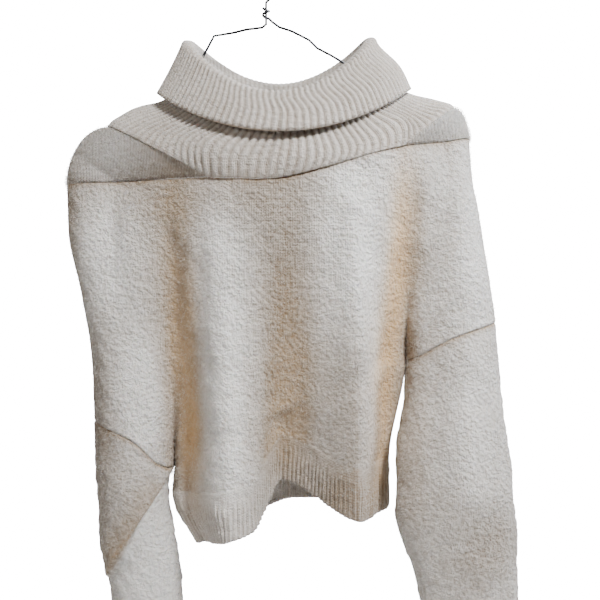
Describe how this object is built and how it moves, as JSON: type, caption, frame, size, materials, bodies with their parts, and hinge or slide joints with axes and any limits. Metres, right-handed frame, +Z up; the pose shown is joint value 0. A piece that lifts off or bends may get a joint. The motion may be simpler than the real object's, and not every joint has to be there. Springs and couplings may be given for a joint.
{
  "type": "knit sweater on a wire hanger",
  "caption": "Cropped brushed wool sweater with a wide turned-down rib collar, drop shoulders and long sleeves, hanging in soft folds on a plain wire hanger.",
  "frame": {"origin": "on the inner top of the hanger's hook, where the rail bears", "axes": "+Z up, front of the sweater faces -Y, +X to the viewer's right"},
  "size_m": [0.4691, 0.1762, 0.8795],
  "materials": {
    "wool_knit": "brushed matte wool",
    "rib_knit": "matte ribbed wool",
    "wire": "dark smooth wire"
  },
  "bodies": {
    "root": {"front_panel": "wool_knit", "back_panel": "wool_knit", "collar": "rib_knit", "sleeve_left": "wool_knit", "sleeve_right": "wool_knit", "cuff_left": "rib_knit", "cuff_right": "rib_knit", "hem_rib": "rib_knit", "hanger": "wire"}
  },
  "joints": []
}
